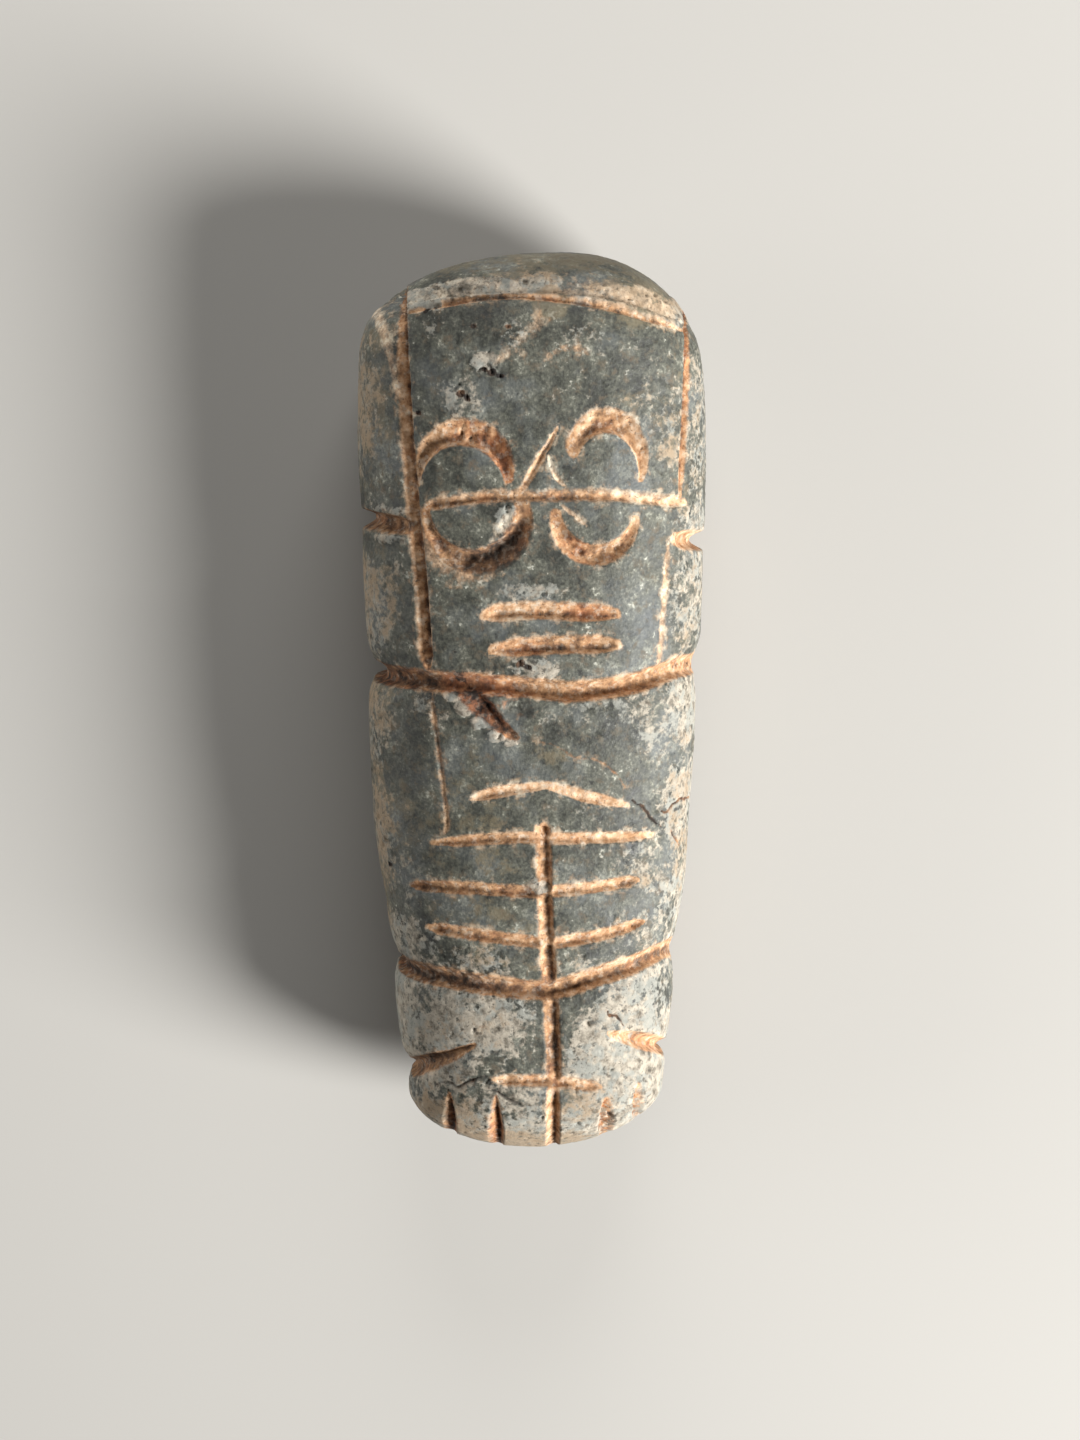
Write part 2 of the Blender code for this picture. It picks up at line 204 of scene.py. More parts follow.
def net_stone():
    """The uncut stone as a closed mesh, at the origin and in metres."""
    places, turns = ring_places(), ring_turns()
    sides = len(turns)
    spots = on_stone(turns[None, :], places[:, None]).reshape(-1, 3)
    sole = [0, -HALF_LENGTH, BACK_DROP]
    crown = [CROWN_LEAN, HALF_LENGTH, BACK_DROP]
    spots = np.vstack([spots, [sole, crown]]) * MM
    first = np.arange(sides)
    after = (first + 1) % sides
    rings = np.arange(len(places) - 1)[:, None] * sides
    near, near_after = rings + first, rings + after
    quads = np.stack([near_after, near, near + sides, near_after + sides], axis=-1)
    faces = quads.reshape(-1, 4).tolist()
    last = (len(places) - 1) * sides
    faces += [(len(spots) - 2, i, j) for i, j in zip(first.tolist(), after.tolist())]
    faces += [
        (len(spots) - 1, last + j, last + i) for i, j in zip(first.tolist(), after.tolist())
    ]
    mesh = bpy.data.meshes.new("zemi_figure_stone")
    mesh.from_pydata(spots, [], faces)
    mesh.shade_smooth()
    return mesh


stone_mesh = net_stone()
stone = add_object("carved_stone", stone_mesh)
print("uncut stone:", len(stone_mesh.vertices), "points")

# %% [markdown]
# ## Tool paths
#
# The figure was cut with a stone saw and a point, drawn to and fro along a line. So each cut is
# described as its tool saw it: a path over the surface, with the cut's half-width and depth at
# each place on it. Curve objects could carry the paths, but their points hold only a radius.
# A mesh of edges holds any attribute, so the depth, the colour of the soil left in the cut, the
# painted shade on its deepest line and the side on which the cut is deepest travel with each point.


# %% Draw a path on the surface
PATH_STEPS = 60  # between two key points


def curve_through(keys):
    """A smooth line of points through key points, in whatever two numbers they hold."""
    keys = np.array(keys, float)
    padded = np.vstack([keys[:1], keys, keys[-1:]])
    t = np.linspace(0, 1, PATH_STEPS, endpoint=False)[:, None]
    pieces = []
    for before, start, stop, after in zip(padded, padded[1:], padded[2:], padded[3:]):
        bend = 2 * before - 5 * start + 4 * stop - after
        swing = 3 * start - before - 3 * stop + after
        pieces.append(0.5 * (2 * start + (stop - before) * t + bend * t**2 + swing * t**3))
    return np.vstack(pieces + [keys[-1:]])


def from_front(across, along):
    """The turn and y of places drawn on the front."""
    y = HALF_LENGTH * along / 100
    x = HALF_WIDTH * across / 100
    centre, left, right, front, _ = section(y)
    share = np.minimum(1, abs(x - centre) / np.where(x > centre, right, left))
    height = front * (1 - share**FRONT_SQUARENESS) ** (1 / FRONT_SQUARENESS)
    return np.degrees(np.arctan2(height, x - centre)), y


def drawn(*keys):
    """A path through (across, along) places on the front."""
    across, along = curve_through(keys).T
    return from_front(across, along)


def drawn_on_side(*keys):
    """A path through (turn, along) places."""
    turn, along = curve_through(keys).T
    return turn, HALF_LENGTH * along / 100


def arc(centre, radii, start, stop):
    """A path on an arc, from one angle to another."""
    angle = np.radians(np.linspace(start, stop, 3 * PATH_STEPS))
    across = centre[0] + radii[0] * np.cos(angle)
    return from_front(across, centre[1] + radii[1] * np.sin(angle))


def right_round(keys):
    """A closed path round the whole figure, through (turn, along) places."""
    turn = np.linspace(0, 360, 10 * PATH_STEPS)
    return turn, HALF_LENGTH * smooth_between(turn, keys, 1) / 100


# %% Say what the tool did along a path
NUDGE = 0.05  # step on the surface that its slope is read from, mm
NO_LENGTH = 1e-9  # less than any direction's length


def outward(turn, y):
    """The outward direction of the surface."""
    y = np.clip(y, -HALF_LENGTH + 2 * NUDGE, HALF_LENGTH - 2 * NUDGE)
    round_it = on_stone(turn + 0.5, y) - on_stone(turn - 0.5, y)
    along_it = on_stone(turn, y + NUDGE) - on_stone(turn, y - NUDGE)
    up = np.cross(along_it, round_it)
    return up / np.linalg.norm(up, axis=1, keepdims=True)


def chain(
    path, width, depth, ends=(0.35, 0.35), widest=None, fade=0.15, lean=0.5, soil=(0.6, 0.6),
    hold=1.0, dark=0.12,
):
    """One cut: points, and at each its half-width, depth, lean, side and the soil in it.

    depth is one depth or a row of them, which the cut takes evenly along its path. ends is
    what is left of the width at either end, widest where a swelling cut is widest, fade
    the share of the length over which an even cut runs out. lean is where across the cut it is
    deepest, soil the tone of what fills it, from 0, black, to 1, cream, which is the earth's own
    colour and, on the sides turned from the light, partly painted shade, hold how much of it is
    left, and dark how much painted shade darkens its deepest line.
    """
    turn, y = path
    spots = on_stone(turn, y)
    share = np.linspace(0, 1, len(spots))
    least = np.where(share < 0.5 if widest is None else share < widest, ends[0], ends[1])
    if widest is None:
        full = np.minimum(1, np.minimum(share, 1 - share) / fade)
    else:
        near = np.where(share < widest, share / widest, (1 - share) / (1 - widest))
        full = np.sin(np.pi / 2 * near)
    size = least + (1 - least) * full
    depths = np.atleast_1d(depth)
    ahead = np.gradient(spots, axis=0)
    side = np.cross(ahead, outward(turn, y))
    side /= np.maximum(np.linalg.norm(side, axis=1, keepdims=True), NO_LENGTH)
    return {
        "spots": spots,
        "half_width": width / 2 * size,
        "depth": np.interp(share, np.linspace(0, 1, len(depths)), depths)
        * np.minimum(size, 0.1 + full),
        "lean": np.full(len(spots), float(lean)),
        "soil": np.interp(share, np.linspace(0, 1, len(soil)), soil),
        "hold": np.full(len(spots), float(hold)),
        "dark": np.full(len(spots), float(dark)),
        "side": side,
    }


def tool_paths(name, chains):
    """The cuts of one tool as a mesh of edges that carries their attributes."""
    spots = np.vstack([cut["spots"] for cut in chains]) * MM
    edges = []
    start = 0
    for cut in chains:
        count = len(cut["spots"])
        edges += [(i, i + 1) for i in range(start, start + count - 1)]
        start += count
    mesh = bpy.data.meshes.new(name)
    mesh.from_pydata(spots, edges, [])
    for key in ("half_width", "depth", "lean", "soil", "hold", "dark"):
        values = np.concatenate([cut[key] for cut in chains])
        if key in ("half_width", "depth"):
            values = values * MM
        mesh.attributes.new(key, "FLOAT", "POINT").data.foreach_set("value", values)
    sides = np.vstack([cut["side"] for cut in chains]).ravel()
    mesh.attributes.new("side", "FLOAT_VECTOR", "POINT").data.foreach_set("vector", sides)
    print(name, len(chains), "cuts,", len(spots), "points")
    return add_object(name, mesh)


# %% [markdown]
# ## The cuts of face and body
#
# Long lines frame the face, one closes the crown and one crosses the eyes, four crescents stand
# above and below the eyes, and two short grooves are the mouth. Below them come a collar, ribs, a
# spine and toes. Each tool group holds cuts that don't cross each other, because a point of the
# stone asks only for the nearest path.

# %% Lines that run down the figure
down_lines = tool_paths("down_lines", [
    chain(drawn((-73, 93), (-72, 79), (-68, 54), (-62, 29), (-59, 12)), 1.7, 0.85, fade=0.06,
          lean=-0.5, soil=(0.42, 0.54, 0.7, 0.72, 0.68, 0.72, 0.5), dark=0.32),
    chain(drawn((86, 87), (87, 77), (83, 48)), 1.15, 0.5, lean=-0.1,
          soil=(0.5, 0.64, 0.72, 0.7), dark=0.4, hold=0.85),
    chain(drawn((76.5, 38.5), (72, 12)), 0.9, 0.14, lean=0, soil=(0.8, 0.78, 0.8),
          hold=0.32, dark=0),
    chain(drawn((-56, 7), (-53, -3), (-48, -19), (-49, -23)), 0.75, 0.2, lean=0,
          soil=(0.62, 0.58, 0.64), hold=0.3, dark=0.1),
    chain(drawn((-5, 50.4), (6, 57.5), (14.4, 63.3)), 1.05, 0.4, (0.8, 0.2), fade=0.5, lean=0,
          soil=(0.66, 0.76, 0.82), hold=0.7),
    chain(drawn((9, 57.6), (13.3, 53.4), (18.7, 51)), 0.7, 0.2, fade=0.3, soil=(0.9, 0.85),
          hold=0.4, dark=0),
    chain(drawn((15.5, 47.6), (23.6, 45.1), (30.8, 42.6)), 0.5, 0.12, fade=0.3, soil=(0.75, 0.7),
          hold=0.25, dark=0),
    chain(drawn((6.3, -21), (6.3, -24), (8, -44), (11.7, -68), (12.5, -79)), 1.75, 0.6,
          (0.5, 0.9), fade=0.05, lean=-0.35, soil=(0.6, 0.74, 0.6, 0.66, 0.54, 0.54, 0.64),
          dark=0.18),
    chain(drawn((12, -79.5), (12, -90), (12, -99.3)), 1.6, 0.75, (0.8, 0.8), fade=0.2,
          lean=-0.3, soil=(0.74, 0.7, 0.64), dark=0.2),
    # The toes, from left to right
    chain(drawn((-48, -82.2), (-48, -96)), 1.7, 0.8, (0.3, 0.9), fade=0.5, lean=-0.3,
          soil=(0.6, 0.5), hold=0.6, dark=0.25),
    chain(drawn((-21, -81.8), (-21, -99)), 1.8, 0.8, (0.3, 0.9), fade=0.5, lean=-0.4,
          soil=(0.62, 0.5), hold=0.6, dark=0.3),
    chain(drawn((43.5, -83), (43.5, -95.8)), 1.9, 0.85, (0.4, 0.8), fade=0.4,
          soil=(0.66, 0.56), hold=0.5),
    chain(drawn((62.5, -81), (62.5, -91.5)), 1.7, 0.8, (0.4, 0.8), fade=0.4, soil=(0.7, 0.6),
          hold=0.5),
])

# %% Lines that run across the figure
across_lines = tool_paths("across_lines", [
    chain(drawn((-69.5, 86.9), (-27.6, 90.2), (7.5, 90.2), (47.7, 87.6), (85.5, 83.1)), 1.15, 0.4,
          lean=0.2, soil=(0.7, 0.6, 0.52, 0.74, 0.58, 0.74, 0.76), hold=0.45, dark=0.2),
    chain(drawn((-58, 46.9), (-27.6, 48.9), (7.5, 49.3), (47.7, 49.1), (86.2, 47.1)), 1.45, 0.55,
          (0.6, 0.5), fade=0.06, lean=0.5, soil=(0.62, 0.68, 0.66, 0.54, 0.86, 0.8), hold=0.46,
          dark=0.12),
    chain(drawn((-26, 24.2), (-0.6, 25.3), (47, 24.4)), 2.05, 0.75,
          (0.55, 0.55), fade=0.2, soil=(0.72, 0.78, 0.78, 0.62, 0.7), dark=0.24),
    chain(drawn((-21.5, 17), (15.5, 18), (47.5, 17.8)), 2.0, 0.75, (0.55, 0.55),
          fade=0.2, soil=(0.6, 0.68, 0.54, 0.68, 0.68), dark=0.24),
    chain(drawn((-34, -15.2), (-20, -13.6), (8.5, -12)), 1.35, 0.42, (0.3, 0.6), fade=0.4,
          soil=(0.7, 0.76, 0.8), dark=0.05),
    chain(drawn((8.5, -12), (32, -14.7), (54.5, -17)), 1.35, 0.42, (0.6, 0.3), fade=0.4,
          soil=(0.8, 0.74, 0.72), dark=0.05),
    chain(drawn((-56.5, -25.2), (-17, -23.6), (24, -23.6), (69, -24)), 1.35, 0.48,
          soil=(0.56, 0.62, 0.64, 0.78, 0.78), hold=0.85, dark=0.08),
    chain(drawn((-69.5, -35.4), (-34.5, -34.7), (6, -35.6)), 1.45, 0.55, (0.3, 0.8),
          soil=(0.52, 0.56, 0.5), dark=0.05),
    chain(drawn((7, -35.4), (38, -34.4), (60.5, -33.6)), 1.4, 0.5, (0.8, 0.3),
          soil=(0.74, 0.7, 0.68), dark=0.08),
    chain(drawn((-60, -44.2), (-28.7, -45.1), (8, -46.7)), 1.45, 0.55, (0.3, 0.8),
          soil=(0.64, 0.6, 0.7), dark=0.05),
    chain(drawn((8, -47), (38, -45.3), (64, -43.2)), 1.4, 0.5, (0.8, 0.3),
          soil=(0.72, 0.7, 0.66), dark=0.08),
    chain(drawn((-22, -77.8), (12, -78), (39.7, -79.8)), 1.5, 0.6, soil=(0.76, 0.7, 0.8),
          hold=0.7),
])

# %% The crescents above and below the eyes
crescents = tool_paths("crescents", [
    chain(arc((-37.9, 52.3), (25.3, 10), 185, 2), 2.95, 1.0, (0.25, 0.35), widest=0.62, lean=0.4,
          soil=(0.66, 0.64, 0.66, 0.58, 0.56, 0.62), dark=0.18),
    chain(arc((-31.6, 45.6), (27, 10.4), 180, 368), 2.9, 1.15, (0.35, 0.6), widest=0.66,
          lean=-0.25, soil=(0.6, 0.5, 0.36, 0.3, 0.56), dark=0.1),
    chain(arc((41, 55.2), (20.6, 9.5), 158, -18), 2.6, 0.9, (0.65, 0.25), widest=0.42, lean=0.5,
          soil=(0.66, 0.66, 0.72, 0.76), dark=0.22),
    chain(arc((35.6, 45.4), (22.4, 8.7), 180, 350), 2.3, 0.85, (0.5, 0.4), widest=0.5, lean=0.1,
          soil=(0.6, 0.6, 0.56, 0.74), dark=0.1),
])

# %% [markdown]
# ## The cuts that part head, body and legs
#
# The neck and the waist were sawn right round the stone, and the ears and ankles into its sides.
# Long rubbing rounded their shoulders, so each has a second, wide and shallow path.

# %% Saw round the neck and the waist, and into the sides
NECK = [(0, 10.6), (25, 11.6), (50, 9), (72, 7.9), (95, 9), (150, 9.9), (180, 9.7), (360, 10.6)]
WAIST = [
    (0, -54), (25, -51.6), (56, -54.2), (84, -57.4), (110, -56.3), (135, -55.3),
    (180, -55.3), (270, -54), (360, -54),
]
EAR_LEFT = [(138, 42.2), (160, 42.8), (180, 42.4), (222, 42)]
EAR_RIGHT = [(32, 39.3), (15, 38.2), (0, 37.6), (-42, 37.4)]
ANKLE_LEFT = [(117, -70), (128, -73.1), (141, -76), (158, -79.3), (180, -81.5), (220, -82.5)]
ANKLE_RIGHT = [(54, -67.8), (38, -70.9), (20, -74.4), (0, -77.5), (-40, -78.5)]
EVEN = (1, 1)

# Soil darker on the left of neck, waist, ears and ankles, turned from the light: part soil, part
# painted shade
saw_cuts = tool_paths("saw_cuts", [
    chain(right_round(NECK), 2.3, (2.1, 1.5, 1.35, 1.35, 1.35, 1.5, 1.4, 1.3, 1.3, 1.5, 2.1),
          EVEN, lean=-0.35, dark=0.08,
          soil=(0.62, 0.64, 0.62, 0.58, 0.42, 0.38, 0.42, 0.5, 0.5, 0.6, 0.66, 0.62)),
    chain(right_round(WAIST), 2.3, 1.2, EVEN, lean=-0.5, dark=0.22,
          soil=(0.62, 0.68, 0.66, 0.52, 0.42, 0.42, 0.48, 0.5, 0.6, 0.62)),
    chain(drawn_on_side(*EAR_LEFT), 2.1, (1.3, 1.4, 1.6, 1.4, 1.2), (0.7, 0.3), lean=0.1,
          soil=(0.5, 0.48, 0.46, 0.5), dark=0.05),
    chain(drawn_on_side(*EAR_RIGHT), 2.1, (1.2, 1.3, 1.5, 1.4, 1.2), (0.7, 0.3), lean=0,
          soil=(0.74, 0.7, 0.66)),
    chain(drawn_on_side(*ANKLE_LEFT), 2.1, 1.3, (0.2, 0.4), fade=0.35, lean=0,
          soil=(0.55, 0.48, 0.5, 0.55), dark=0.1),
    chain(drawn_on_side(*ANKLE_RIGHT), 2.0, 1.2, fade=0.25, lean=0, soil=(0.76, 0.72, 0.6)),
])
shoulders = tool_paths("shoulders", [
    chain(right_round(NECK), 4.8, 0.4, EVEN, lean=0, hold=0),
    chain(right_round(WAIST), 4.8, 0.45, EVEN, lean=0, hold=0),
    chain(drawn_on_side(*EAR_LEFT), 3.2, 0.15, lean=0, hold=0),
    chain(drawn_on_side(*EAR_RIGHT), 3.4, 0.2, lean=0, hold=0),
    chain(drawn_on_side(*ANKLE_LEFT), 4.0, 0.45, fade=0.3, lean=0, hold=0),
    chain(drawn_on_side(*ANKLE_RIGHT), 3.6, 0.35, fade=0.3, lean=0, hold=0),
])

# %% Bevels ground beside a few cuts
bevels = tool_paths("bevels", [
    chain(drawn((-84, 95), (-80, 88), (-76, 81), (-71, 72)), 4.8, 1.2, (1, 0.3), widest=0.01,
          lean=-0.8, hold=0.05, soil=(0.7, 0.75)),
    chain(drawn((-66, 89.3), (-44, 92.4), (4.6, 93.1), (37, 92.2), (65, 89.6), (82, 85.8)), 3.0,
          0.5, lean=0.7, hold=0.1, soil=(0.8, 0.85, 0.7, 0.72, 0.8, 0.85), dark=0),
    chain(arc((-31.6, 45.6), (30, 12.2), 182, 300), 3.6, 0.45, (0.4, 0.4), widest=0.5, lean=-0.3,
          hold=0.35, soil=(0.68, 0.6), dark=0),
    chain(arc((-31.6, 45.6), (19, 7.2), 295, 372), 2.2, 0.3, (0.4, 0.6), widest=0.5, lean=0,
          hold=0.1, soil=(0.85, 0.85), dark=0),
])

# %% [markdown]
# ## Chips, cracks and pits
#
# The stone was already old when it was buried. A flake has gone below the neck, hairline cracks
# cross the right side and the feet, and a few holes are where shell or crystals fell out. They
# are cut with the same tree: a crack is a very thin path and a pit a very short one.


# %% Break the surface in a few places
def crack(*keys, width=0.35, depth=0.28, soil=0.22, hold=0.9):
    """A very thin path."""
    return chain(drawn(*keys), width, depth, fade=0.3, lean=0, soil=(soil, soil), hold=hold)


def pit(across, along, size, depth=0.4, soil=0.1):
    """A very short path."""
    start = (across, along)
    return chain(drawn(start, (across + 1, along)), size, depth, EVEN, lean=0, soil=(soil, soil))


cracks = tool_paths("cracks", [
    # The edge where the flake came off, then hairline cracks and two scratches on the forehead
    chain(drawn((-43, 9.8), (-34.5, 7), (-27.2, 4.4), (-19.5, 1.4), (-9, -1.9)), 2.6, 0.9,
          (0.9, 0.3), fade=0.5, lean=-0.2, soil=(0.3, 0.24, 0.3, 0.36, 0.3), dark=0.1),
    crack((56, -16), (63.5, -18.1), (69.4, -21.2), (73.6, -22.8), width=0.4, soil=0.2),
    crack((72.3, -19.2), (77.2, -19.6), (81.4, -18.3), (85.8, -17.5), (90.8, -18.5), (98, -19),
          soil=0.3),
    crack((79.7, -23.9), (86.3, -28.8), soil=0.4, hold=0.6),
    crack((1.9, -2.7), (12.9, -3.4), (24, -6.2), (35, -6.8), (46.3, -9.6), (53.7, -13.7),
          width=0.3, depth=0.12, soil=0.45, hold=0.4),
    crack((42.5, -62), (44.2, -63.6), (48.9, -64.2), (53, -66.5), soil=0.25),
    crack((-56, -80.5), (-49, -79.6), (-42, -80.2), (-36.9, -78.8), (-30.5, -77.6), (-26, -77.4),
          width=0.5, depth=0.3, soil=0.1, hold=0.32),
    crack((-24.5, -80), (-18, -81), (-12, -82.6), (-7.8, -83.1), (-2.7, -84), width=0.5,
          depth=0.3, soil=0.08, hold=0.4),
    crack((4.6, 89.2), (3.5, 85.1), (-0.8, 82), (-7.2, 80), (-11.5, 79), (-19.6, 76.6),
          width=1.8, depth=0.08, soil=0.8, hold=0.13),
    crack((8.9, 77), (15.4, 79), (23.5, 79.6), (32.7, 78), width=0.9, depth=0.06, soil=0.6,
          hold=0.13),
])
pits = tool_paths("pits", [
    pit(-21.8, 74.5, 0.8), pit(-17.5, 73.6, 0.7), pit(-38.6, 70, 0.7), pit(-35.5, 69.2, 0.6),
    pit(-63, 66, 0.5), pit(-32.1, 83.9, 0.5), pit(-82.3, -32, 0.7), pit(-2.5, 13.1, 0.6),
    pit(-6.4, 13.9, 0.8), pit(-58, 87.4, 0.7), pit(-53, 88, 0.5),
    pit(-25.5, 75.3, 0.5), pit(2, -34, 0.7, 0.3, 0.2), pit(-13.5, 84, 0.5, 0.3, 0.3),
    # A pale streak beside the crown, and the hollow of the flake
    chain(drawn((-91, 89), (-85, 85), (-80.5, 80), (-77, 75), (-74.5, 68)), 1.7, 0.05,
          (0.9, 0.2), fade=0.6, lean=0, soil=(0.95, 0.88, 0.78), hold=0.26, dark=0),
    chain(drawn((-17, 8), (-11.5, 6.5), (-5.5, 4.9), (0, 3)), 2.8, 0.65, (0.6, 0.4), fade=0.4,
          lean=0.4, soil=(0.3, 0.2), hold=0.16, dark=0.2),
])

# %% [markdown]
# ## A node tree that cuts along paths
#
# A Boolean would need a solid cutter for each groove, and a brush would have to be moved by hand.
# Geometry Nodes can ask each point of the stone how far the nearest path is, and how wide and
# deep the tool went there. The tree only writes what it finds into attributes: the depth of the
# cut, how far into it the point lies, the soil there, darkened by painted shade on the cut's deepest
# line, and the bruised rim beside it. Run once for each tool, it keeps the deepest cut, so crossing
# grooves meet as real ones do.


# %% One function for every node
# The kinds of node used most
MATH = "ShaderNodeMath"
VECTOR_MATH = "ShaderNodeVectorMath"
MAP_RANGE = "ShaderNodeMapRange"  # its values: value, from low, from high, to low, to high
MIX = "ShaderNodeMix"
NOISE = "ShaderNodeTexNoise"
RAMP = "ShaderNodeValToRGB"
NAMED = "GeometryNodeInputNamedAttribute"
STORE = "GeometryNodeStoreNamedAttribute"


def linear(hex_colour):
    """An sRGB hex colour as the linear values that Blender works in."""
    channels = [int(hex_colour[i:i + 2], 16) / 255 for i in (1, 3, 5)]
    curve = [c / 12.92 if c <= 0.04045 else ((c + 0.055) / 1.055) ** 2.4 for c in channels]
    return (*curve, 1.0)


def socket(sockets, key):
    """A socket by its place, or by its name among those in use."""
    if isinstance(key, int):
        return sockets[key]
    return next(s for s in sockets if s.name == key and s.enabled)


def add_node(tree, kind, values=None, output=None, stops=None, **settings):
    """Adds a node with its settings, values and links, and returns one of its outputs.

    values go by socket name, or as a list in the sockets' own order. stops are a colour
    ramp's first and last mark, then those between them.
    """
    node = tree.nodes.new(kind)
    for name, value in settings.items():
        setattr(node, name, value)
    if isinstance(values, list):
        values = dict(enumerate(values))
    for key, value in (values or {}).items():
        target = socket(node.inputs, key)
        if isinstance(value, bpy.types.NodeSocket):
            tree.links.new(value, target)
        else:
            target.default_value = value
    for i, (place, colour) in enumerate(stops or []):
        marks = node.color_ramp.elements
        mark = marks[i] if i < 2 else marks.new(place)
        mark.position = place
        mark.color = linear(colour)
    if output is None:
        return next((s for s in node.outputs if s.enabled), None)
    return socket(node.outputs, output)


def new_tree(name, inputs):
    """A geometry tree with named inputs, and the outputs of its Group Input node."""
    tree = bpy.data.node_groups.new(name, "GeometryNodeTree")
    tree.interface.new_socket("Geometry", in_out="INPUT", socket_type="NodeSocketGeometry")
    for label, kind, default in inputs:
        item = tree.interface.new_socket(label, in_out="INPUT", socket_type="NodeSocket" + kind)
        if default is not None:
            item.default_value = default
    tree.interface.new_socket("Geometry", in_out="OUTPUT", socket_type="NodeSocketGeometry")
    entry = tree.nodes.new("NodeGroupInput")
    return tree, {s.name: s for s in entry.outputs if s.name}


def add_tree(thing, tree, **values):
    """Puts a tree on an object, with its inputs set by their identifiers."""
    modifier = thing.modifiers.new(tree.name, "NODES")
    modifier.node_group = tree
    for item in tree.interface.items_tree:
        key = item.name.lower().replace(" ", "_")
        if item.in_out == "INPUT" and key in values:
            modifier[item.identifier] = values[key]


# %% The tree
cutting, given = new_tree("Cut along paths", [
    ("Paths", "Object", None),
    ("Roundness", "Float", 2.0),
    ("Worn Edge", "Float", 1.3),
    ("Wander", "Float", 0.1 * MM),
    ("Wander Size", "Float", 2.0 * MM),
    ("Chatter", "Float", 0.15),
    ("Rim", "Float", 0.25 * MM),
    ("Seed", "Int", 1),
])

where = add_node(cutting, "GeometryNodeInputPosition")
paths = add_node(cutting, "GeometryNodeObjectInfo", {"Object": given["Paths"]}, "Geometry")
wander_scale = add_node(cutting, MATH, [1.0, given["Wander Size"]], operation="DIVIDE")
drift = add_node(
    cutting, NOISE,
    {"Vector": where, "W": given["Seed"], "Scale": wander_scale, "Detail": 3.0},
    "Color", noise_dimensions="4D",
)
drift = add_node(cutting, VECTOR_MATH, [drift, (0.5, 0.5, 0.5)], operation="SUBTRACT")
drift = add_node(cutting, VECTOR_MATH, {0: drift, "Scale": given["Wander"]}, operation="SCALE")
asked = add_node(cutting, VECTOR_MATH, [where, drift], operation="ADD")
near_point = add_node(
    cutting, "GeometryNodeProximity", {"Geometry": paths, "Sample Position": asked},
    "Position", target_element="EDGES",
)
distance = near_point.node.outputs["Distance"]
nearest = add_node(cutting, "GeometryNodeSampleNearest", {"Geometry": paths, "Sample Position": asked})
told = {}
for label in ("half_width", "depth", "lean", "soil", "hold", "dark", "side"):
    kind = "FLOAT_VECTOR" if label == "side" else "FLOAT"
    carried = add_node(cutting, NAMED, {"Name": label}, data_type=kind)
    told[label] = add_node(
        cutting, "GeometryNodeSampleIndex",
        {"Geometry": paths, "Value": carried, "Index": nearest}, data_type=kind,
    )

# %% Where in the cut a point lies: 0 on its deepest line, 1 at its rim
away = add_node(cutting, VECTOR_MATH, [asked, near_point], operation="SUBTRACT")
aside = add_node(cutting, VECTOR_MATH, [away, told["side"]], "Value", operation="DOT_PRODUCT")
reach = add_node(cutting, MATH, [distance, told["half_width"]], operation="DIVIDE")
aside = add_node(cutting, MATH, [aside, told["half_width"]], operation="DIVIDE")
reach = add_node(cutting, MATH, [reach, reach], operation="MULTIPLY")
aside_squared = add_node(cutting, MATH, [aside, aside], operation="MULTIPLY")
past_end = add_node(cutting, MATH, [reach, aside_squared], operation="SUBTRACT")
past_end = add_node(cutting, MATH, [past_end, 0.0], operation="MAXIMUM")
from_deepest = add_node(cutting, MATH, [aside, told["lean"]], operation="SUBTRACT")
wall = add_node(cutting, MATH, [from_deepest], operation="SIGN")
wall = add_node(cutting, MATH, [wall, told["lean"]], operation="MULTIPLY")
wall = add_node(cutting, MATH, [1.0, wall], operation="SUBTRACT")
up_wall = add_node(cutting, MATH, [from_deepest, wall], operation="DIVIDE")
up_wall = add_node(cutting, MATH, [up_wall, up_wall, past_end], operation="MULTIPLY_ADD")
up_wall = add_node(cutting, MATH, [up_wall], operation="SQRT")

# %% How deep the stone is cut there
BITE_SIZE = 0.9 * MM  # of the uneven bites that the tool took

fullness = add_node(cutting, MATH, [up_wall, given["Roundness"]], operation="POWER")
fullness = add_node(cutting, MATH, [1.0, fullness], operation="SUBTRACT", use_clamp=True)
bite = add_node(
    cutting, NOISE,
    {"Vector": where, "W": given["Seed"], "Scale": 1 / BITE_SIZE, "Detail": 4.0},
    noise_dimensions="4D",
)
bite = add_node(cutting, MAP_RANGE, [bite, 0.3, 0.7, -1.0])
bite = add_node(cutting, MATH, [bite, given["Chatter"], 1.0], operation="MULTIPLY_ADD")
deep = add_node(cutting, MATH, [fullness, given["Worn Edge"]], operation="POWER")
deep = add_node(cutting, MATH, [deep, told["depth"]], operation="MULTIPLY")
deep = add_node(cutting, MATH, [deep, bite], operation="MULTIPLY")

# %% What lies in the cut, and what was there before
RIM_CLAIM = 0.05  # a rim gives way to soil held in another cut
BLEND = 0.08 * MM  # rounds the edge where two cuts meet

held = add_node(cutting, MATH, [fullness, told["hold"]], operation="MULTIPLY")
past_rim = add_node(cutting, MATH, [distance, told["half_width"]], operation="SUBTRACT")
rim = add_node(cutting, MAP_RANGE, [past_rim, 0.0, given["Rim"], 1.0, 0.0])
rim = add_node(cutting, MATH, [rim, told["hold"]], operation="MULTIPLY")
claim = add_node(cutting, MATH, [rim, RIM_CLAIM, held], operation="MULTIPLY_ADD")
# Painted shade: the soil is painted darker along each cut's deepest line, as the shadow in a groove
deepest = add_node(cutting, MAP_RANGE, [fullness, 0.84])
deepest = add_node(cutting, MATH, [deepest, told["dark"]], operation="MULTIPLY")
soil = add_node(cutting, MATH, [told["soil"], deepest], operation="SUBTRACT")
was = {label: add_node(cutting, NAMED, {"Name": label})
       for label in ("soil", "held", "rim", "cut", "claim")}
claimed = add_node(
    cutting, "FunctionNodeCompare", {"A": claim, "B": was["claim"]}, operation="GREATER_THAN",
)
